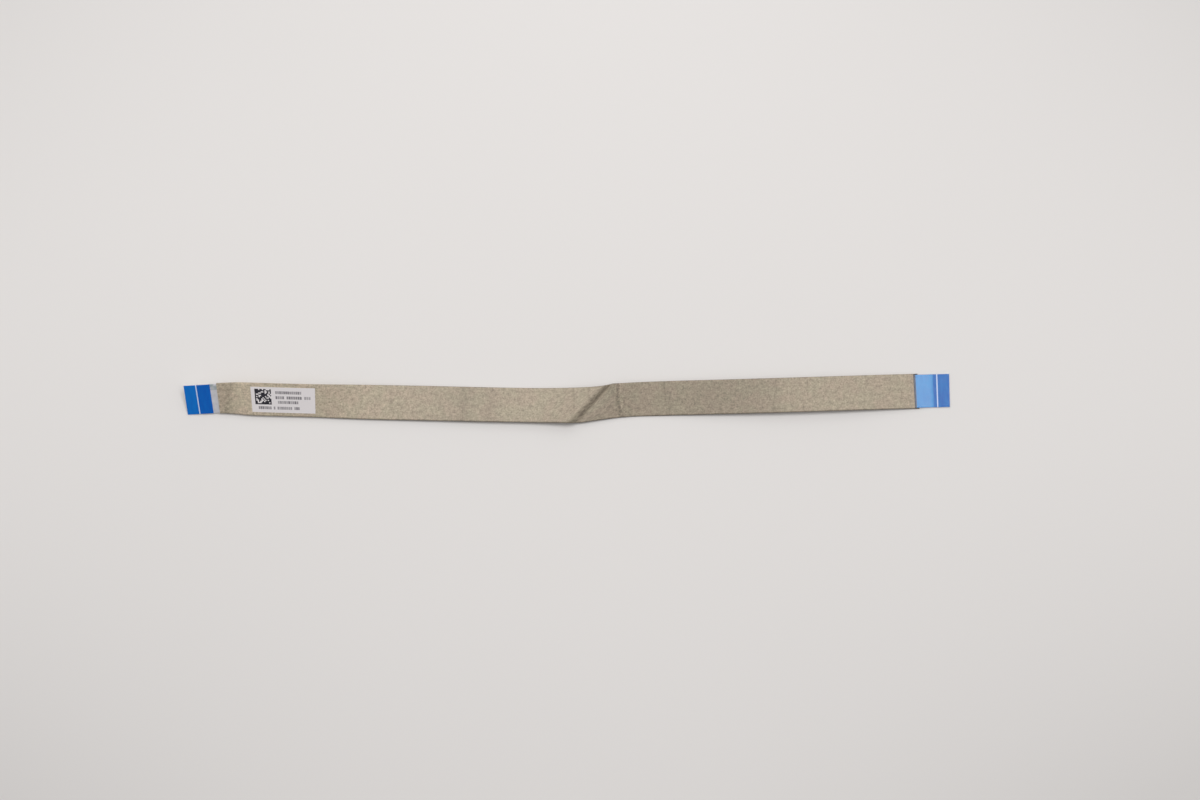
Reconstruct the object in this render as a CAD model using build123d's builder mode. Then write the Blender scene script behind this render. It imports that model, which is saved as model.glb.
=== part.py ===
from build123d import *
import math
import os

os.makedirs("parts", exist_ok=True)

# A shielded flat flex cable, lying on a table as it was unpacked: the left end is rolled up on
# one corner, a slanting crease crosses the middle, and the right end lies flat.
# Sizes are in millimetres and angles in degrees. Distances run along the cable from its left
# tip, +X is towards the right tip, +Y is away from the viewer and +Z is up.

# The laminated cable: flat conductors between two films
cable_length = 245.0
conductor_count = 20
conductor_pitch = 0.5
conductor_width = 0.3
conductor_thickness = 0.05
film_thickness = 0.06
film_margin = 0.5           # from the outer conductor's middle line to the edge of the film
contact_length = 4.0        # bare contacts at each tip, on the underside

# The stiffeners glued over the tips, on the side away from the contacts
stiffener_thickness = 0.19
left_stiffener_length = 8.3
right_stiffener_length = 11.1

# The shield: one conductive cloth folded round the cable, its edges lapped underneath
cloth_thickness = 0.12
fold_room = 0.18            # air beside the cable inside each side fold
fold_chamfer = 0.08
left_bare_length = 2.1      # cable showing between the left stiffener and the shield
right_bare_length = 0.5
underside_reach = 1.4       # the shield's underside runs this much further at the right end
lap_half_width = 1.5
lap_step = 0.25             # width of the step where the outer flap goes down over the inner one
lap_room = 0.1              # from the inner flap's edge to the foot of that step
glue_gap = 0.02

# The label stuck on top of the shield
label_start = 20.9
label_length = 20.3
label_width = 8.5
label_thickness = 0.06

# How the cable lies
crease_distance = 128.6
crease_width = 2.95
crease_slant = 45.0
right_flat_length = 4.9     # the last stretch, which lies flat on the table
right_ramp_length = 10.1    # the stretch before it, which comes down to the table
cut_margin = 1.6            # a stretch stays flat this far beyond an end that is cut in it
label_margin = 0.6
fold_meeting = 6.5          # this far from the middle line, a twisted stretch's fold lines meet
flat_enough = 1e-9          # a face or a stretch with less twist than this is flat

# Worked out from the sizes above
half_cable = (conductor_count - 1) * conductor_pitch / 2 + film_margin
half_conductor = conductor_thickness / 2
half_depth = half_conductor + film_thickness
cloth_top = half_depth + cloth_thickness
lap_bottom = -(half_depth + 2 * cloth_thickness + glue_gap)
half_fold_inside = half_cable + fold_room
half_fold_outside = half_fold_inside + cloth_thickness
shield_start = left_stiffener_length + left_bare_length
shield_end = cable_length - right_stiffener_length - right_bare_length
right_stiffener_start = cable_length - right_stiffener_length
film_edges = (contact_length, cable_length - contact_length)
straight_up = Vector(0, 0, 1)

# The flat stretches that the ends of the shield and the label are cut in
left_flat_end = shield_start + cut_margin
label_flat_start = label_start - label_margin
label_flat_end = label_start + label_length + label_margin
crease_end = crease_distance + crease_width
right_ramp_start = cable_length - right_flat_length - right_ramp_length


def before_crease(share):
    return label_flat_end + (crease_distance - label_flat_end) * share


def after_crease(share):
    return crease_end + (right_ramp_start - crease_end) * share


# At each place: distance, sideways drift, height of the lowest edge above the table, slope of
# the line across the cable (upper edge up is positive), and slant of that line (its upper end
# towards the right tip is positive). A slope of None keeps the line parallel to the one before
# it, so that the stretch between them is flat.
lie = [
    (0.0, -0.67, 0.0, 30.0, 0.0),
    (left_flat_end, 0.0, 0.82, None, 0.0),
    (label_flat_start, -0.33, 0.85, 19.5, 0.0),
    (label_flat_end, -0.9, 0.62, None, 0.0),
    (before_crease(0.19), -1.3, 0.6, 5.5, 0.0),
    (before_crease(0.4), -1.65, 0.55, -2.0, 0.0),
    (before_crease(0.61), -2.05, 0.1, -6.5, 0.0),
    (before_crease(0.82), -2.33, 0.0, -8.0, 0.0),
    (crease_distance, -1.97, 2.8, -1.5, crease_slant),
    (crease_end, -1.72, 0.65, None, crease_slant),
    (after_crease(0.093), -0.6, 0.0, 6.6, -15.0),
    (after_crease(0.2), -0.17, 0.0, 7.0, 0.0),
    (after_crease(0.34), 0.15, 0.85, 6.0, 0.0),
    (after_crease(0.48), 0.5, 1.65, 3.5, 0.0),
    (after_crease(0.62), 0.93, 2.2, 0.0, 0.0),
    (after_crease(0.8), 1.47, 1.95, None, 0.0),
    (right_ramp_start, 2.05, 0.53, None, 0.0),
    (cable_length - right_flat_length, 2.28, 0.0, None, 0.0),
    (cable_length, 2.42, 0.0, None, 0.0),
]


class Section:
    """A line across the cable: its middle, and where one millimetre across the cable and one
    millimetre up through it go from there."""

    def __init__(self, distance, centre, across):
        self.distance = distance
        self.centre = centre
        self.across = across
        self.through = None

    def point(self, v, n):
        return self.centre + self.across * v + self.through * n

    def edge(self, v):
        return self.centre + self.across * v


def height(distance, lift, slope, slant):
    """Height of the cable's middle, for a lowest edge that is lifted by this much."""
    wrapped = shield_start <= distance <= shield_end
    half_width = half_fold_outside if wrapped else half_cable
    depth = -lap_bottom if wrapped else half_depth
    angle = math.radians(slope)
    reach = half_width / math.cos(math.radians(slant))
    return lift + reach * abs(math.sin(angle)) + depth * math.cos(angle)


def placed_lines():
    """A line across the cable at each place of the lie, joined by runs of true length."""
    slopes = []
    for row in lie:
        slopes.append(slopes[-1] if row[3] is None else row[3])
    heights = [height(row[0], row[2], slope, row[4]) for row, slope in zip(lie, slopes)]
    centres = [Vector(0, lie[0][1], heights[0])]
    for i in range(1, len(lie)):
        sideways = lie[i][1] - lie[i - 1][1]
        rise = heights[i] - heights[i - 1]
        forward = math.sqrt((lie[i][0] - lie[i - 1][0]) ** 2 - sideways**2 - rise**2)
        centres.append(centres[-1] + Vector(forward, sideways, rise))
    runs = [(b - a).normalized() for a, b in zip(centres, centres[1:])]
    lines = []
    for i, (distance, sideways, lift, slope, slant) in enumerate(lie):
        before = runs[max(i - 1, 0)]
        after = runs[min(i, len(runs) - 1)]
        along = (before + after).normalized()
        level = straight_up.cross(along).normalized()
        if slope is None:
            direction = lines[-1].across.normalized()
        elif slant:
            direction = raised(level.rotate(Axis.Z, -slant), straight_up, slope)
        else:
            direction = raised(level, along.cross(level), slope)
        spread = (before.cross(direction).length + after.cross(direction).length) / 2
        lines.append(Section(distance, centres[i], direction / spread))
    return lines


def raised(level, upright, slope):
    return level * math.cos(math.radians(slope)) + upright * math.sin(math.radians(slope))


def facet_normal(first, second):
    return (second.centre - first.centre).cross(first.across + second.across).normalized()


def folded(lines):
    """The lines with a diagonal one in each twisted stretch, and with the way up through the
    cable that the facets on both sides share."""
    sections = [lines[0]]
    for first, second in zip(lines, lines[1:]):
        if first.across.cross(second.across).length > flat_enough:
            low = first.edge(-fold_meeting)
            high = second.edge(fold_meeting)
            distance = (first.distance + second.distance) / 2
            sections.append(Section(distance, (low + high) / 2, (high - low) / (2 * fold_meeting)))
        sections.append(second)
    normals = [facet_normal(a, b) for a, b in zip(sections, sections[1:])]
    for section, before, after in zip(sections, [normals[0], *normals], [*normals, normals[-1]]):
        section.through = (before + after) / (1 + before.dot(after))
    return sections


def cut(distance):
    """A square end across the flat stretch that holds this distance."""
    for first, second in zip(sections, sections[1:]):
        if first.distance <= distance <= second.distance:
            share = (distance - first.distance) / (second.distance - first.distance)
            end = Section(
                distance,
                first.centre + (second.centre - first.centre) * share,
                first.across + (second.across - first.across) * share,
            )
            end.through = facet_normal(first, second)
            return end


def stretch(start, end, marks=()):
    """The sections from one distance to another, with square cuts at both and at the marks."""
    between = [s for s in sections if start < s.distance < end] + [cut(mark) for mark in marks]
    return [cut(start), *sorted(between, key=lambda s: s.distance), cut(end)]


def flat_faces(a, b, c, d):
    """The four-sided face, or its two triangles where it isn't flat."""
    if abs((b - a).cross(c - a).dot(d - a)) < flat_enough:
        return [Face(Wire.make_polygon([a, b, c, d]))]
    return [Face(Wire.make_polygon([a, b, c])), Face(Wire.make_polygon([a, c, d]))]


def strip(profile, start, end, marks=()):
    """The solid that has this profile from one distance to another. Its faces end at each mark."""
    rings = [[s.point(v, n) for v, n in profile] for s in stretch(start, end, marks)]
    faces = [Face(Wire.make_polygon(rings[0])), Face(Wire.make_polygon(rings[-1]))]
    for ring, following in zip(rings, rings[1:]):
        for i in range(len(profile)):
            faces += flat_faces(ring[i - 1], ring[i], following[i], following[i - 1])
    return Solid(Shell(faces))


def rectangle(low_v, high_v, low_n, high_n):
    return [(low_v, low_n), (high_v, low_n), (high_v, high_n), (low_v, high_n)]


# Profiles, as points across and through the cable
conductor_lines = [
    (i - (conductor_count - 1) / 2) * conductor_pitch for i in range(conductor_count)
]
top_film_profile = rectangle(-half_cable, half_cable, half_conductor, half_depth)

# The lower film comes up between the conductors as a comb
bottom_film_profile = [
    (-half_cable, -half_depth),
    (half_cable, -half_depth),
    (half_cable, half_conductor),
]
for line in reversed(conductor_lines):
    bottom_film_profile += [
        (line + conductor_width / 2, half_conductor),
        (line + conductor_width / 2, -half_conductor),
        (line - conductor_width / 2, -half_conductor),
        (line - conductor_width / 2, half_conductor),
    ]
bottom_film_profile.append((-half_cable, half_conductor))

stiffener_profile = rectangle(
    -half_cable, half_cable, half_depth, half_depth + stiffener_thickness
)
label_profile = rectangle(
    -label_width / 2, label_width / 2, cloth_top, cloth_top + label_thickness
)

# The right side fold goes down into the inner flap, the left one into the outer flap, which
# steps down and laps under it
step_top = -lap_half_width - lap_room - lap_step
step_foot = -lap_half_width - lap_room
inner_flap = [
    (half_fold_outside, -(cloth_top - fold_chamfer)),
    (half_fold_outside - fold_chamfer, -cloth_top),
    (-lap_half_width, -cloth_top),
    (-lap_half_width, -half_depth),
    (half_fold_inside, -half_depth),
]
outer_flap = [
    (-half_fold_inside, -half_depth),
    (step_top, -half_depth),
    (step_foot, lap_bottom + cloth_thickness),
    (lap_half_width, lap_bottom + cloth_thickness),
    (lap_half_width, lap_bottom),
    (step_foot - lap_step / 2, lap_bottom),
    (step_top - lap_step / 2, -cloth_top),
    (-(half_fold_outside - fold_chamfer), -cloth_top),
    (-half_fold_outside, -(cloth_top - fold_chamfer)),
]
shield_profile = [
    *inner_flap,
    (half_fold_inside, half_depth),
    (-half_fold_inside, half_depth),
    *outer_flap,
    (-half_fold_outside, cloth_top - fold_chamfer),
    (-(half_fold_outside - fold_chamfer), cloth_top),
    (half_fold_outside - fold_chamfer, cloth_top),
    (half_fold_outside, cloth_top - fold_chamfer),
]
inner_flap_profile = [
    *inner_flap,
    (half_fold_inside, half_depth),
    (half_fold_outside, half_depth),
]
outer_flap_profile = [
    (-half_fold_inside, half_depth),
    *outer_flap,
    (-half_fold_outside, half_depth),
]

# The finished piece stands on the table, its middle over the origin
sections = folded(placed_lines())
corners = []
for profile, start, end in [
    (top_film_profile, 0, cable_length),
    (bottom_film_profile, *film_edges),
    (stiffener_profile, 0, left_stiffener_length),
    (stiffener_profile, right_stiffener_start, cable_length),
    (shield_profile, shield_start, shield_end),
]:
    corners += [s.point(v, n) for s in stretch(start, end) for v, n in profile]
shift = Vector(
    -(min(c.X for c in corners) + max(c.X for c in corners)) / 2,
    -(min(c.Y for c in corners) + max(c.Y for c in corners)) / 2,
    -min(c.Z for c in corners),
)
for section in sections:
    section.centre += shift

# Conductors, bare underneath from each tip to the edge of the bottom film
for number, line in enumerate(conductor_lines, start=1):
    conductor_profile = rectangle(
        line - conductor_width / 2, line + conductor_width / 2, -half_conductor, half_conductor
    )
    with BuildPart() as conductor:
        add(strip(conductor_profile, 0, cable_length, film_edges), clean=False)
    conductor.part.label = f"conductor_{number:02d}"
    export_step(conductor.part, f"parts/conductor_{number:02d}.step")

with BuildPart() as insulation_top:
    add(strip(top_film_profile, 0, cable_length))
insulation_top.part.label = "insulation_top"
export_step(insulation_top.part, "parts/insulation_top.step")

with BuildPart() as insulation_bottom:
    add(strip(bottom_film_profile, *film_edges))
insulation_bottom.part.label = "insulation_bottom"
export_step(insulation_bottom.part, "parts/insulation_bottom.step")

with BuildPart() as stiffener_left:
    add(strip(stiffener_profile, 0, left_stiffener_length))
stiffener_left.part.label = "stiffener_left"
export_step(stiffener_left.part, "parts/stiffener_left.step")

with BuildPart() as stiffener_right:
    add(strip(stiffener_profile, right_stiffener_start, cable_length))
stiffener_right.part.label = "stiffener_right"
export_step(stiffener_right.part, "parts/stiffener_right.step")

with BuildPart() as shield:
    add(strip(shield_profile, shield_start, shield_end))
    add(strip(inner_flap_profile, shield_end, shield_end + underside_reach))
    add(strip(outer_flap_profile, shield_end, shield_end + underside_reach))
shield.part.label = "shield"
export_step(shield.part, "parts/shield.step")

with BuildPart() as label:
    add(strip(label_profile, label_start, label_start + label_length))
label.part.label = "label"
export_step(label.part, "parts/label.step")
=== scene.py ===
import math

import bpy
import numpy as np
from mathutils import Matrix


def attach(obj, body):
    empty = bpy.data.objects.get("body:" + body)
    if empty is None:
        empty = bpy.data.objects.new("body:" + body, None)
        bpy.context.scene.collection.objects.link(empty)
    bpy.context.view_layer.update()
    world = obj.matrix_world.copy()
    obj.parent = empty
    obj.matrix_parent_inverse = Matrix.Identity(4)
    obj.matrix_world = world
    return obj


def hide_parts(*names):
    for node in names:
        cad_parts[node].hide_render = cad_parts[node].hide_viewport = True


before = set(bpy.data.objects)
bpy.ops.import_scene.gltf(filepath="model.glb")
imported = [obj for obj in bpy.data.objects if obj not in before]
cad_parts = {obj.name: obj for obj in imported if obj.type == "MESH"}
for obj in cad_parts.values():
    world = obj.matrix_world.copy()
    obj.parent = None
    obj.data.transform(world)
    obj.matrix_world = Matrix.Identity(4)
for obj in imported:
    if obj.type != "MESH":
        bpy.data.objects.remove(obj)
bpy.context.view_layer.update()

# Lengths below are in millimetres, as on a drawing of the cable, and become metres when a piece
# is laid. A place on the cable is told by three of them: distance from the left tip along it,
# across it from the middle line, and up through its thickness.
MM = 0.001

# The cable's sizes
conductor_count = 20
conductor_pitch = 0.5
conductor_width = 0.3
conductor_thickness = 0.05
film_thickness = 0.06
half_cable = 5.25
contact_length = 4.0
stiffener_thickness = 0.19
left_stiffener_length = 8.3
right_stiffener_length = 11.1
mark_distance = 3.9
mark_width = 0.36
cloth_thickness = 0.12
half_fold = 5.49
left_bare_length = 2.1
right_bare_length = 0.2
underside_reach = 1.4
lap_half_width = 1.5
lap_room = 0.1
lap_step = 0.25
lap_drop = 0.14
label_start = 21.0
label_length = 20.3
label_width = 8.5
label_thickness = 0.06

half_depth = conductor_thickness / 2 + film_thickness
cloth_middle = half_depth + cloth_thickness / 2
label_middle = half_depth + cloth_thickness + label_thickness / 2
stiffener_middle = half_depth + stiffener_thickness / 2


# Camera and the cable's route

camera = bpy.data.objects.new("camera", bpy.data.cameras.new("camera"))
bpy.context.collection.objects.link(camera)
camera.location = (10.7 * MM, -0.55 * MM, 3.0)
camera.data.sensor_width = 36.0
camera.data.lens = 282.6
camera.data.clip_start = 0.01
bpy.context.scene.camera = camera

# Each row: where the cable's middle goes, the slope of the line across the cable in degrees
# (far edge up is positive), and that line's slant (its far end towards the right tip)
route = [
    (-121.1, -0.55, 2.70, 29.8, -4.4),
    (-117.0, -0.33, 3.15, 29.8, -4.4),
    (-112.0, -0.05, 3.65, 29.8, -4.4),
    (-109.0, 0.08, 3.85, 29.0, -4.5),
    (-105.0, 0.04, 3.35, 24.0, -5.5),
    (-101.4, -0.20, 3.03, 19.5, -7),
    (-90.6, -0.53, 2.92, 19.5, -5),
    (-79.9, -0.80, 2.80, 19.0, -2.5),
    (-71.7, -1.02, 2.10, 12.5, 0),
    (-63.4, -1.22, 1.50, 5.5, 0),
    (-54.4, -1.40, 1.20, 1.5, 0),
    (-45.2, -1.57, 1.09, -2.0, 0),
    (-36.1, -1.78, 1.00, -4.2, 0),
    (-27.0, -1.97, 1.07, -6.5, 0),
    (-17.9, -2.15, 1.05, -7.5, 0),
    (-8.8, -2.27, 1.20, -7.5, 8),
    (-2.5, -2.25, 1.95, -5.5, 30),
    (3.0, -2.10, 2.65, -3.5, 44),
    (6.2, -1.93, 3.20, -2.0, 48),
    (8.6, -1.68, 1.30, -1.0, 48),
    (9.7, -1.56, 1.35, 1.0, 46),
    (13.0, -1.10, 1.60, 7.0, 30),
    (17.8, -0.58, 1.60, 12.5, 8),
    (23.0, -0.29, 1.42, 11.0, 0),
    (28.3, -0.14, 1.25, 8.5, 0),
    (35.2, 0.08, 1.34, 6.6, 0),
    (42.1, 0.25, 1.72, 6.0, 0),
    (48.9, 0.42, 2.02, 5.0, 0),
    (55.8, 0.60, 2.30, 3.5, 0),
    (62.7, 0.81, 2.45, 1.8, 0),
    (69.6, 1.01, 2.54, 0, 0),
    (78.5, 1.28, 2.45, 0, 0),
    (87.3, 1.55, 2.25, 0, 0),
    (97.0, 1.84, 1.62, 0, 0),
    (106.9, 2.13, 0.88, 0, -1.5),
    (112.0, 2.25, 0.46, 0, -2),
    (115.8, 2.35, 0.10, 0, -1),
    (118.0, 2.40, 0.10, 0, -0.5),
    (121.98, 2.50, 0.10, 0, 0),
]


def spline_points(places):
    """Points along a smooth curve with these control points."""
    curve = bpy.data.curves.new("route", "CURVE")
    curve.dimensions = "3D"
    spline = curve.splines.new("NURBS")
    spline.points.add(len(places) - 1)
    for point, place in zip(spline.points, places):
        point.co = (*place, 1)
    spline.order_u = 3
    spline.use_endpoint_u = True
    spline.resolution_u = 16
    holder = bpy.data.objects.new("route", curve)
    mesh = bpy.data.meshes.new_from_object(holder)
    points = np.array([vertex.co for vertex in mesh.vertices])
    bpy.data.objects.remove(holder)
    bpy.data.curves.remove(curve)
    bpy.data.meshes.remove(mesh)
    return points


def across_step(heading, slope, slant):
    """One millimetre across the cable where it heads this way, with this slope and slant."""
    level = math.cos(math.radians(slope))
    lean = math.tan(math.radians(slant))
    x, y = heading
    return np.array([(lean * x - y) * level, (x + lean * y) * level, math.sin(math.radians(slope))])


middles = np.array([row[:3] for row in route]) * MM
headings = np.gradient(middles[:, :2], axis=0)
headings /= np.linalg.norm(headings, axis=1, keepdims=True)
steps_across = [across_step(heading, *row[3:]) for heading, row in zip(headings, route)]
sides = middles + np.array(steps_across) * MM
centreline = spline_points(middles)
sideline = spline_points(sides)
steps = np.linalg.norm(np.diff(centreline, axis=0), axis=1)
distances = np.concatenate([[0], np.cumsum(steps)]) / MM
cable_length = distances[-1]
shield_start = left_stiffener_length + left_bare_length
shield_end = cable_length - right_stiffener_length - right_bare_length


def distance_at(x):
    """How far along the cable its middle line passes this x."""
    return float(np.interp(x * MM, centreline[:, 0], distances))


crease_place = distance_at(7.7)
second_crease_place = distance_at(17.1)


def along(values, distance):
    """Where one of the two splines is at these distances."""
    return np.stack([np.interp(distance, distances, values[:, i]) for i in range(3)], -1)


# Small creases in the cloth: distance, how far they lean for each millimetre across, width,
# height, and the stretch across the cable that they run over
wrinkles = [
    (13.5, 0.15, 1.6, 0.10, -4.5, 5.5),
    (65.7, 0.02, 0.8, 0.08, -2.6, 2.6),
    (68.9, -0.03, 0.6, 0.09, -5.5, 0.0),
    (88.5, 0.05, 1.6, 0.08, -5.5, 5.5),
    (93.0, -0.05, 1.4, -0.06, -5.5, 5.5),
    (97.2, 0.03, 1.7, 0.07, -5.5, 5.5),
    (distance_at(2.6), -0.75, 0.5, 0.12, -2.0, 5.5),
    (distance_at(7.0), -0.9, 0.5, 0.11, 1.6, 5.5),
    (second_crease_place - 0.7, -0.42, 0.4, 0.12, -5.5, 0.5),
    (second_crease_place - 1.0, -0.15, 0.45, 0.11, 0.2, 5.5),
    (second_crease_place + 0.2, -0.22, 0.3, -0.09, -2.5, 5.5),
    (second_crease_place + 1.3, -0.15, 0.4, 0.10, -5.5, 1.5),
    (153.4, -0.04, 0.4, 0.17, -1.0, 5.5),
    (154.8, 0.04, 0.5, 0.12, -5.5, 2.0),
    (188.6, 0.0, 1.6, 0.06, -5.5, 5.5),
]


def ripple(distance, across):
    """How far the small creases lift the cable here, in millimetres."""
    fading = 3
    height = np.zeros_like(distance)
    for place, lean, width, rise, low, high in wrinkles:
        ridge = rise * np.exp(-(((distance - place - lean * across) / width) ** 2))
        started = 1 / (1 + np.exp((low - across) * fading))
        inside = started / (1 + np.exp((across - high) * fading))
        height += ridge * inside
    return height


def laid(distance, across, up):
    """Where places on the flat cable go when it lies as in the photograph, in metres."""
    nudge = 0.2
    middle = along(centreline, distance)
    ahead = along(centreline, distance + nudge) - along(centreline, distance - nudge)
    side = (along(sideline, distance) - middle) / MM
    side_ahead = along(sideline, distance + nudge) - along(sideline, distance - nudge)
    forward = ahead + (side_ahead - ahead) * across[..., None]
    through = np.cross(forward, side)
    through /= np.linalg.norm(through, axis=-1, keepdims=True)
    height = up + ripple(distance, across)
    return middle + side * across[..., None] * MM + through * height[..., None] * MM


def stations(start, end):
    """Distances to put points at, closer together at the crease."""
    coarse_step, fine_step = 0.6, 0.25
    creased_from, creased_to = 120.0, 146.0
    coarse = np.arange(start, end, coarse_step)
    fine = np.arange(max(start, creased_from), min(end, creased_to), fine_step)
    between = np.concatenate([coarse, fine, [end]])
    return np.unique(np.round(between[(between >= start) & (between <= end)], 4))


# Trees of nodes

class Signal:
    """A socket's value, with arithmetic that adds the nodes for it."""

    def __init__(self, graph, socket):
        self.graph = graph
        self.socket = socket

    def math(self, operation, *others):
        values = dict(enumerate([self, *others]))
        return self.graph.add("ShaderNodeMath", {"operation": operation}, values)

    def __add__(self, other):
        return self.math("ADD", other)

    __radd__ = __add__

    def __mul__(self, other):
        return self.math("MULTIPLY", other)

    def __sub__(self, other):
        return self.math("SUBTRACT", other)

    def __rsub__(self, other):
        return self * -1 + other

    def __truediv__(self, other):
        return self.math("DIVIDE", other)

    def over(self, other):
        return self.math("GREATER_THAN", other)

    def under(self, other):
        return self.math("LESS_THAN", other)

    def between(self, low, high):
        return self.over(low) * self.under(high)

    def rising(self, low, high):
        """From 0 to 1 as the value goes from low to high."""
        settings = {"interpolation_type": "SMOOTHSTEP"}
        limits = {"Value": self, "From Min": low, "From Max": high}
        return self.graph.add("ShaderNodeMapRange", settings, limits)

    def near(self, place, width):
        """1 at this value, fading to 0 at this distance from it."""
        return 1 - (self - place).math("ABSOLUTE").rising(0, width)

    def twin(self, name):
        """Another output of the same node."""
        return Signal(self.graph, self.socket.node.outputs[name])


class Graph:
    """A node tree in the making."""

    def __init__(self, tree):
        self.tree = tree

    def add(self, kind, settings={}, inputs={}, output=0):
        node = self.tree.nodes.new(kind)
        for name, value in settings.items():
            if name == "stops":
                for position, colour in value[1:-1]:
                    node.color_ramp.elements.new(position)
                for element, (position, colour) in zip(node.color_ramp.elements, value):
                    element.position = position
                    element.color = colour
            else:
                setattr(node, name, value)
        for name, value in inputs.items():
            if isinstance(value, Signal):
                self.tree.links.new(value.socket, node.inputs[name])
            else:
                node.inputs[name].default_value = value
        return Signal(self, node.outputs[output]) if node.outputs else node


class Finish(Graph):
    """A material in the making, on the piece's own map: distance along it and across it."""

    def __init__(self, name):
        self.material = bpy.data.materials.new(name)
        self.material.use_nodes = True
        super().__init__(self.material.node_tree)
        self.tree.nodes.clear()
        self.map = self.add("ShaderNodeUVMap", {"uv_map": "cable"})
        self.distance, self.across = (part / MM for part in self.split(self.map))

    def split(self, place):
        x = self.add("ShaderNodeSeparateXYZ", {}, {0: place})
        return x, x.twin("Y")

    def noise(self, size, detail=2.0, stretch=(1, 1, 1)):
        """Smooth noise from 0 to 1, with blots of this size in millimetres."""
        scale = {0: self.map, 1: tuple(s / (size * MM) for s in stretch)}
        place = self.add("ShaderNodeVectorMath", {"operation": "MULTIPLY"}, scale)
        values = {"Vector": place, "Scale": 1.0, "Detail": detail}
        return self.add("ShaderNodeTexNoise", {}, values)

    def mix(self, share, first, second):
        inputs = {0: share, 6: first, 7: second}
        return self.add("ShaderNodeMix", {"data_type": "RGBA"}, inputs, 2)

    def shade(self, colour, tone):
        """The colour made lighter or darker by a value."""
        grey = self.add("ShaderNodeCombineColor", {}, {0: tone, 1: tone, 2: tone})
        inputs = {0: 1.0, 6: colour, 7: grey}
        settings = {"data_type": "RGBA", "blend_type": "MULTIPLY"}
        return self.add("ShaderNodeMix", settings, inputs, 2)

    def bump(self, height, depth):
        """Relief of this depth in millimetres."""
        values = {"Height": height, "Distance": depth * MM, "Strength": 1.0}
        return self.add("ShaderNodeBump", {}, values)

    def surface(self, **values):
        named = {name.replace("_", " ").title(): value for name, value in values.items()}
        if "Ior" in named:
            named["IOR"] = named.pop("Ior")
        shader = self.add("ShaderNodeBsdfPrincipled", {}, named)
        self.add("ShaderNodeOutputMaterial", {}, {"Surface": shader})
        return self.material


def linear(red, green, blue):
    """A colour as it looks on a screen, from 0 to 255, for a shader."""
    parts = [c / 255 for c in (red, green, blue)]
    parts = [c / 12.92 if c <= 0.04045 else ((c + 0.055) / 1.055) ** 2.4 for c in parts]
    return (*parts, 1.0)


def ramp_stops(rows):
    """Stops of a ramp of greys from rows of place and tone, and the last row's place."""
    last = rows[-1][0]
    return [(place / last, (tone, tone, tone, 1)) for place, tone in rows], last


def cloth_finish():
    """Plated cloth: a fine plain weave, mottled, with painted light and shade along its length and
    painted shade along the creases.
    """
    finish = Finish("plated_cloth")
    distance, across = finish.distance, finish.across
    thread_width = 0.16
    thread = math.pi / thread_width
    weave = (distance * thread).math("SINE") * (across * thread).math("SINE")
    blots = finish.noise(1.2, 3.0)
    specks = finish.noise(0.5, 1.0)
    slubs = finish.noise(1.0, 2.0, (0.25, 3.0, 1.0))
    # Painted light and shade: how light the cloth is at each distance, for how the light falls on
    # its slopes
    painted_shading_rows = [
        (0, 1.02), (14, 1.1), (18, 1.27), (24, 1.14), (54, 1.03), (76, 0.87),
        (92, 0.76), (98, 0.82), (112, 0.86), (120, 0.83), (129, 0.83), (132, 0.71),
        (136, 0.71), (139, 0.78), (146, 0.79), (170, 0.71), (184, 0.73), (192, 0.83),
        (207, 0.87), (245, 0.88),
    ]
    stops, last = ramp_stops(painted_shading_rows)
    stretch = finish.add("ShaderNodeValToRGB", {"stops": stops}, {"Fac": distance / last})
    # Painted shade in a streak before the crease, and in a crumpled streak at the second, with a
    # painted highlight on a few threads there
    crease = distance - crease_place
    crease_shade = crease.rising(-3.2, -0.1) * (1 - crease.rising(0.2, 0.9))
    crease_shade = crease_shade * finish.noise(0.9, 3.0).rising(0.35, 0.6)
    wobble = finish.noise(2.2, 3.0) * 2.4 - 1.2
    leaning = distance + across * 0.3 - second_crease_place
    # Painted shade along the second crease
    second = (leaning + wobble + 0.7).near(0, 0.9)
    second = second * finish.noise(0.8, 3.0).rising(0.35, 0.6)
    second_crease_highlight = (leaning - 0.5).near(0, 0.6) * specks.rising(0.45, 0.7)
    tone = -0.08 + blots * 0.95 + specks * 0.9 + slubs * 0.3 + weave * 0.03
    tone = tone * (1 - crease_shade * 0.3) * (1 - second * 0.35) * (1 + second_crease_highlight * 0.25)
    # Each small crease gets painted shade on its ridge, or painted light in its valley
    patchy = finish.noise(1.1, 3.0).rising(0.3, 0.6)
    soft = 0.6
    for place, lean, width, rise, low, high in wrinkles:
        ridge = (distance - across * lean - place).near(0, width * 1.3)
        inside = across.rising(low - soft, low + soft)
        inside = inside * (1 - across.rising(high - soft, high + soft))
        tone = tone * (1 - ridge * inside * patchy * rise * 1.7)
    # Painted shade on the folded edges, more on the near one, and on the cloth past its top's end
    tone = tone * (1 - across.near(-5.5, 0.5) * 0.55) * (1 - across.near(5.6, 0.4) * 0.25)
    tone = tone * (1 - distance.over(shield_end + 0.1) * 0.75)
    colour = finish.shade(linear(181, 166, 147), tone)
    warm = finish.noise(5.0, 2.0).rising(0.35, 0.65)
    colour = finish.mix(warm, colour, finish.shade(linear(179, 168, 147), tone))
    # Multiplying in the painted light and shade along the cable
    settings = {"data_type": "RGBA", "blend_type": "MULTIPLY"}
    colour = finish.add("ShaderNodeMix", settings, {0: 1.0, 6: colour, 7: stretch}, 2)
    relief = weave * 0.35 + blots * 0.9 + specks * 0.5 + slubs * 0.3
    return finish.surface(
        base_color=colour,
        roughness=0.5 + blots * 0.16,
        metallic=0.2,
        normal=finish.bump(relief, 0.035),
        sheen_weight=0.15,
        sheen_roughness=0.4,
    )


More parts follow.
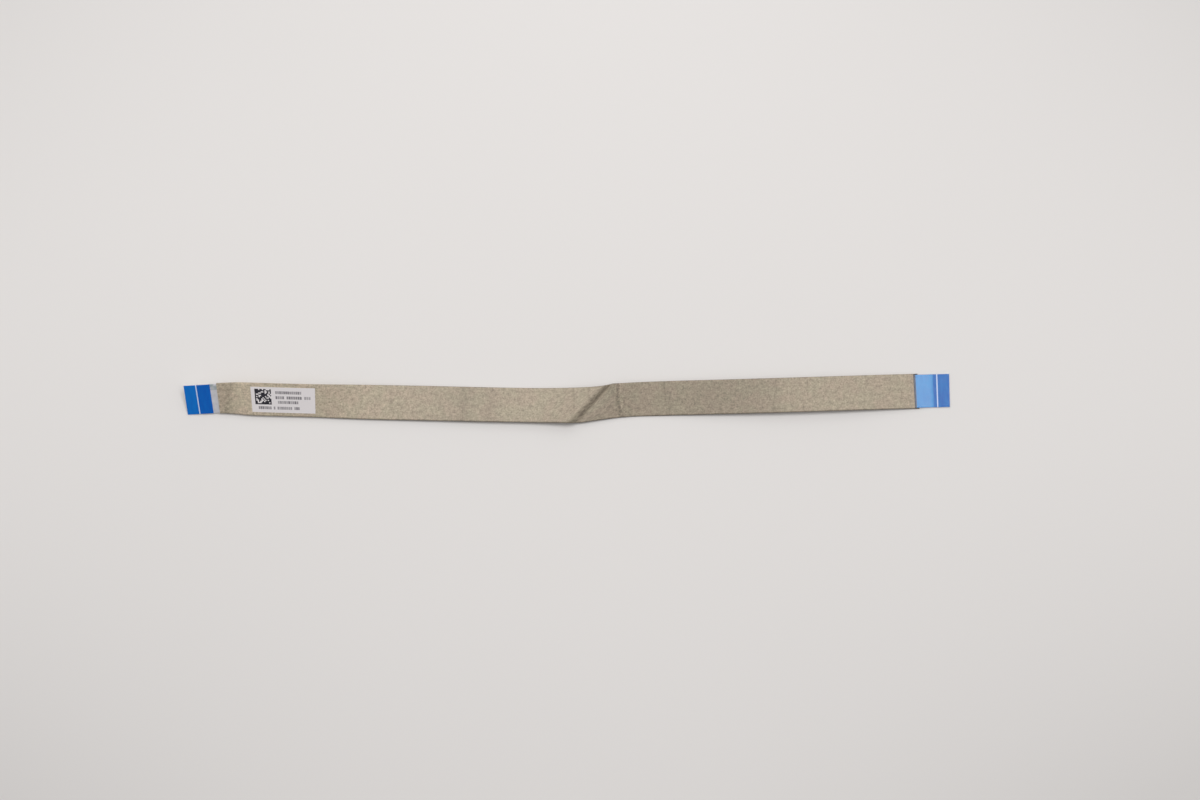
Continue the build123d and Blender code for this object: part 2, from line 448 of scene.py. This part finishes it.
def stiffener_finish(name, mark, deep_from, shaded_to, blue, deep):
    """Glossy blue film with a printed insertion mark across it. It is a deeper blue from one place
    on, and has painted shadow up to another, beside the edge of the cloth."""
    finish = Finish(name)
    distance = finish.distance
    streaks = finish.noise(2.5, 3.0, (2.0, 0.5, 1.0))
    grain = finish.noise(0.4, 2.0)
    printed = distance.between(mark - mark_width / 2, mark + mark_width / 2)
    worn = finish.noise(0.5, 3.0).rising(0.1, 0.4)
    depth = streaks.rising(0.2, 0.8) * 0.4 + distance.rising(deep_from - 0.3, deep_from) * 0.6
    body = finish.mix(depth, linear(*blue), linear(*deep))
    # Painted shadow of the cloth's edge, up to shaded_to
    body = finish.mix(1 - distance.rising(shaded_to - 0.3, shaded_to), body, linear(44, 56, 82))
    colour = finish.mix(printed * (0.86 + worn * 0.1), body, linear(206, 218, 244))
    relief = finish.noise(3.5, 2.0) * 0.8 + printed * 0.3 + grain * 0.05
    return finish.surface(
        base_color=colour,
        roughness=0.16 + grain * 0.08 + printed * 0.25,
        normal=finish.bump(relief, 0.02),
        ior=1.5,
    )


def film_finish():
    """Translucent white film, with a painted dark line of shade where the shield ends."""
    finish = Finish("clear_film")
    distance, across = finish.distance, finish.across
    haze = finish.noise(1.8, 3.0)
    # Painted shade beside the end of the shield, dark and nearly opaque
    edge_shade = distance.over(shield_end - 0.4)
    flux = across.over(3.2) * distance.under(shield_start + 1) * haze.rising(0.35, 0.6)
    milky = finish.mix(haze.rising(0.3, 0.7), linear(227, 226, 232), linear(207, 207, 213))
    milky = finish.mix(flux * 0.5, milky, linear(124, 152, 152))
    return finish.surface(
        base_color=finish.mix(edge_shade, milky, linear(40, 52, 76)),
        roughness=0.2 + haze * 0.15,
        alpha=0.85 + edge_shade * 0.14,
        normal=finish.bump(finish.noise(2.0), 0.02),
        ior=1.57,
    )


def conductor_finish():
    """Tinned copper, rolled along its length."""
    finish = Finish("tinned_copper")
    rolled = finish.noise(0.4, 3.0, (0.08, 1.0, 1.0))
    dull = finish.noise(1.5, 2.0)
    bright, grey = linear(226, 224, 218), linear(188, 186, 180)
    return finish.surface(
        base_color=finish.mix(dull.rising(0.35, 0.7), bright, grey),
        metallic=1.0,
        roughness=0.22 + rolled * 0.2,
        normal=finish.bump(rolled, 0.004),
    )


def label_finish():
    """White sticker with a generic block pattern and plain bars for its lines of print."""
    finish = Finish("sticker")
    distance = finish.distance - label_start
    across = finish.across
    noise = "ShaderNodeTexWhiteNoise"
    # The square of blocks
    cell = 0.4
    low_x, high_x, low_y, high_y = 1.2, 6.4, -1.6, 3.6
    column = ((distance - low_x) / cell).math("FLOOR")
    row = ((across - low_y) / cell).math("FLOOR")
    place = finish.add("ShaderNodeCombineXYZ", {}, {0: column, 1: row, 2: 7.0})
    chance = finish.add(noise, {"noise_dimensions": "3D"}, {"Vector": place})
    square = distance.between(low_x, high_x) * across.between(low_y, high_y)
    edges = column.under(0.5) + row.under(0.5)
    blocks = square * (chance.over(0.34) + edges).math("MINIMUM", 1.0)
    # The lines of print: start, end, height on the label, length of their bars, and seed
    lines = [
        (7.7, 16.0, 2.5, 0.64, 3.0),
        (7.7, 18.9, 0.8, 0.7, 4.0),
        (7.7, 15.0, -0.75, 0.66, 5.0),
        (1.5, 15.6, -2.7, 0.6, 6.0),
    ]
    half_height = 0.48
    bars = None
    for start, end, height, pitch, seed in lines:
        step = (distance - start) / pitch
        place = finish.add("ShaderNodeCombineXYZ", {}, {0: step.math("FLOOR"), 1: seed})
        chance = finish.add(noise, {"noise_dimensions": "2D"}, {"Vector": place})
        stroke = step.math("FRACT").between(0.08, 0.9) * chance.over(0.1)
        line = distance.between(start, end)
        line = line * across.between(height - half_height, height + half_height)
        line = line * stroke * (0.5 + chance * 0.4)
        bars = line if bars is None else bars + line
    fibre = finish.noise(0.5, 4.0)
    tone = 0.96 + fibre * 0.06
    white = finish.shade(linear(225, 220, 221), tone)
    colour = finish.mix(blocks, white, linear(34, 33, 42))
    colour = finish.mix(bars, colour, linear(96, 92, 98))
    return finish.surface(
        base_color=colour,
        roughness=0.42 + fibre * 0.12,
        normal=finish.bump(fibre + finish.noise(4.0) * 1.5, 0.02),
    )


def floor_finish():
    """Plain pale table, with painted light falloff."""
    finish = Finish("pale_table")
    spot = finish.add("ShaderNodeTexCoord", {}, {}, "Object")
    cloud = finish.add("ShaderNodeTexNoise", {}, {"Vector": spot, "Scale": 6.0, "Detail": 2.0})
    # Painted light falloff: a little dimmer towards the front and the far corners, in metres from
    # the middle
    sides, depth = finish.split(spot)
    across, back = sides * sides, depth * depth
    painted_falloff = 0.955 + depth * 0.29 - back * 0.95 - across * 0.42 - across * back * 150
    tone = painted_falloff.math("MAXIMUM", 0.8) * (0.985 + cloud * 0.03)
    return finish.surface(base_color=finish.shade(linear(229, 226, 224), tone), roughness=0.6)


# Pieces

def piece(name, corners, faces, map_places, material, nodes):
    """A mesh with this map, riding on the cable's body in place of these CAD nodes."""
    mesh = bpy.data.meshes.new(name)
    mesh.from_pydata(corners.tolist(), [], faces)
    layer = mesh.uv_layers.new(name="cable")
    for loop in mesh.loops:
        layer.data[loop.index].uv = map_places[loop.vertex_index]
    mesh.polygons.foreach_set("use_smooth", [True] * len(mesh.polygons))
    mesh.materials.append(material)
    made = bpy.data.objects.new(name, mesh)
    bpy.context.collection.objects.link(made)
    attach(made, "root")
    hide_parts(*nodes)
    return made


def sheet(name, path, thickness, start, end, material, nodes, reach=None):
    """A sheet with this line as its cross-section, laid along the cable and given its
    thickness. reach is how much further than the end each point of the line goes."""
    path = np.array(path, dtype=float)
    runs = np.linalg.norm(np.diff(path, axis=0), axis=1)
    around = np.concatenate([[0], np.cumsum(runs)])
    around -= around[-1] / 2
    distance = stations(start, end)[:, None] + np.zeros(len(path))[None, :]
    if reach is not None:
        grow = np.clip((distance - end + 4) / 4, 0, 1)
        distance = distance + grow * np.array(reach)[None, :]
    across = np.broadcast_to(path[:, 0], distance.shape)
    up = np.broadcast_to(path[:, 1], distance.shape)
    corners = laid(distance, across, up).reshape(-1, 3)
    around = np.broadcast_to(around, distance.shape)
    map_places = (np.stack([distance, around], -1) * MM).reshape(-1, 2)
    count, width = distance.shape
    faces = []
    for i in range(count - 1):
        for j in range(width - 1):
            a = i * width + j
            faces.append((a, a + width, a + width + 1, a + 1))
    made = piece(name, corners, faces, map_places.tolist(), material, nodes)
    solid = made.modifiers.new("thickness", "SOLIDIFY")
    solid.thickness = thickness * MM
    solid.offset = 0.0
    made.data = plain_mesh(made)
    made.modifiers.clear()
    made.data.set_sharp_from_angle(angle=math.radians(50))
    return made


def plain_mesh(made):
    """The mesh that an object's modifiers make."""
    graph = bpy.context.evaluated_depsgraph_get()
    return bpy.data.meshes.new_from_object(made.evaluated_get(graph))


def straight(half_width, up, count):
    """A level line across the cable, as a cross-section."""
    return [(v, up) for v in np.linspace(-half_width, half_width, count)]


def fold(side):
    """Half a turn of the cloth round the cable's edge, from below to above for side 1."""
    turns = np.linspace(-90, 90, 9)[1:-1]
    radius = cloth_middle
    points = [
        (side * (half_fold - radius + radius * math.cos(math.radians(turn))),
         radius * math.sin(math.radians(turn)))
        for turn in turns
    ]
    return points if side > 0 else points[::-1]


def shield_path():
    """The line of the cloth: inner flap, far fold, top, near fold, outer flap lapped under."""
    edge = half_fold - cloth_middle
    inner = [(v, -cloth_middle) for v in np.linspace(-lap_half_width, edge, 12)]
    top = [(v, cloth_middle) for v in np.linspace(edge, -edge, 30)]
    foot = -lap_half_width - lap_room
    outer = [(v, -cloth_middle) for v in np.linspace(-edge, foot - lap_step, 8)]
    lap = [(v, -cloth_middle - lap_drop) for v in np.linspace(foot, lap_half_width, 8)]
    return [*inner, *fold(1), *top, *fold(-1), *outer, *lap][::-1]


cloth = cloth_finish()
film = film_finish()
path = shield_path()
reach = [0.0 if up > cloth_middle * 0.95 else underside_reach for across, up in path]
shield = sheet("shield_cloth", path, cloth_thickness, shield_start, shield_end, cloth,
               ["shield"], reach)
film_middle = (conductor_thickness + film_thickness) / 2
top_film = sheet("top_film", straight(half_cable, film_middle, 15), film_thickness, 0,
                 cable_length, film, ["insulation_top"])
bottom_film = sheet("bottom_film", straight(half_cable, -film_middle, 15), film_thickness,
                    contact_length, cable_length - contact_length, film,
                    ["insulation_bottom"])
left_stiffener = sheet("left_stiffener", straight(half_cable, stiffener_middle, 15),
                       stiffener_thickness, 0, left_stiffener_length,
                       stiffener_finish("blue_left", mark_distance, mark_distance, -1.0,
                                        (4, 118, 208), (0, 92, 188)),
                       ["stiffener_left"])
# On the right stiffener the lighter blue before its deeper part is partly painted sheen
right_stiffener = sheet("right_stiffener", straight(half_cable, stiffener_middle, 15),
                        stiffener_thickness, cable_length - right_stiffener_length, cable_length,
                        stiffener_finish("blue_right", cable_length - mark_distance,
                                         cable_length - mark_distance - 1.1,
                                         cable_length - right_stiffener_length + 0.6,
                                         (38, 138, 206), (21, 95, 178)),
                        ["stiffener_right"])
label = sheet("label_sticker", straight(label_width / 2, label_middle, 18), label_thickness,
              label_start, label_start + label_length, label_finish(), ["label"])


# The row of conductors

def conductor_tree():
    """A flat row of conductors, as many and as far apart as its inputs say."""
    tree = bpy.data.node_groups.new("conductor_row", "GeometryNodeTree")
    face = tree.interface
    for name in ("Count", "Stations"):
        face.new_socket(name, in_out="INPUT", socket_type="NodeSocketInt")
    for name in ("Pitch", "Width", "Thickness", "Length"):
        face.new_socket(name, in_out="INPUT", socket_type="NodeSocketFloat")
    face.new_socket("Material", in_out="INPUT", socket_type="NodeSocketMaterial")
    face.new_socket("Geometry", in_out="OUTPUT", socket_type="NodeSocketGeometry")
    graph = Graph(tree)
    given = graph.add("NodeGroupInput")
    length, pitch = given.twin("Length"), given.twin("Pitch")
    measures = {0: length, 1: given.twin("Width"), 2: given.twin("Thickness")}
    size = graph.add("ShaderNodeCombineXYZ", {}, measures)
    cube = {"Size": size, "Vertices X": given.twin("Stations")}
    bar = graph.add("GeometryNodeMeshCube", {}, cube)
    first = (1 - given.twin("Count")) * pitch / 2
    start = graph.add("ShaderNodeCombineXYZ", {}, {0: length / 2, 1: first})
    step = graph.add("ShaderNodeCombineXYZ", {}, {1: pitch})
    line = {"Count": given.twin("Count"), "Start Location": start, "Offset": step}
    places = graph.add("GeometryNodeMeshLine", {}, line)
    row = graph.add("GeometryNodeInstanceOnPoints", {}, {"Points": places, "Instance": bar})
    real = graph.add("GeometryNodeRealizeInstances", {}, {0: row})
    coated = {"Geometry": real, "Material": given.twin("Material")}
    done = graph.add("GeometryNodeSetMaterial", {}, coated)
    graph.add("NodeGroupOutput", {}, {"Geometry": done})
    return tree


def made_by(tree, **values):
    """The plain mesh that a tree makes from these inputs."""
    holder = bpy.data.objects.new("maker", bpy.data.meshes.new("maker"))
    bpy.context.collection.objects.link(holder)
    modifier = holder.modifiers.new("tree", "NODES")
    modifier.node_group = tree
    for item in tree.interface.items_tree:
        if item.in_out == "INPUT" and item.name in values:
            modifier[item.identifier] = values[item.name]
    mesh = plain_mesh(holder)
    bpy.data.objects.remove(holder)
    return mesh


row_mesh = made_by(conductor_tree(), Count=conductor_count, Pitch=conductor_pitch,
                   Width=conductor_width, Thickness=conductor_thickness,
                   Length=float(cable_length), Stations=420, Material=conductor_finish())
flat = np.array([vertex.co for vertex in row_mesh.vertices])
conductors = piece("conductors", laid(flat[:, 0], flat[:, 1], flat[:, 2]),
                   [tuple(polygon.vertices) for polygon in row_mesh.polygons],
                   (flat[:, :2] * MM).tolist(), row_mesh.materials[0],
                   [f"conductor_{i:02d}" for i in range(1, conductor_count + 1)])
conductors.data.polygons.foreach_set("use_smooth", [False] * len(conductors.data.polygons))


# Table, light and air

bpy.ops.mesh.primitive_plane_add(size=4.0)
table = bpy.context.object
table.name = "table"
table.data.materials.append(floor_finish())


def lamp(name, place, aim, width, depth, power):
    """A flat lamp here, turned to that place, in metres and watts."""
    light = bpy.data.lights.new(name, "AREA")
    light.shape = "RECTANGLE"
    light.size = width
    light.size_y = depth
    light.energy = power
    holder = bpy.data.objects.new(name, light)
    bpy.context.collection.objects.link(holder)
    holder.location = place
    towards = np.array(aim) - np.array(place)
    towards /= np.linalg.norm(towards)
    holder.rotation_euler = (
        math.atan2(math.hypot(towards[0], towards[1]), -towards[2]),
        0,
        math.atan2(-towards[0], towards[1]),
    )


lamp("ceiling", (0.0, 0.45, 1.45), (0, 0, 0), 0.9, 0.5, 11.0)
lamp("window", (-0.1, 1.0, 0.75), (0, 0, 0), 0.9, 0.5, 1.0)
lamp("card", (0.4, 0.0, 1.4), (0.12, 0, 0), 0.14, 0.35, 1.15)

world = bpy.data.worlds.new("air")
world.use_nodes = True
bpy.context.scene.world = world
air = Graph(world.node_tree)
air.tree.nodes.clear()
# The room is light behind the cable and dimmer in front of it
way = air.add("ShaderNodeTexCoord", {}, {}, "Generated")
behind = air.add("ShaderNodeSeparateXYZ", {}, {0: way}).twin("Y")
strength = 0.18 + behind.rising(-0.75, 0.1) * 0.4
white = (1.0, 0.985, 0.975, 1.0)
glow = air.add("ShaderNodeBackground", {}, {"Color": white, "Strength": strength})
air.add("ShaderNodeOutputWorld", {}, {"Surface": glow})

bpy.context.scene.view_settings.view_transform = "Standard"
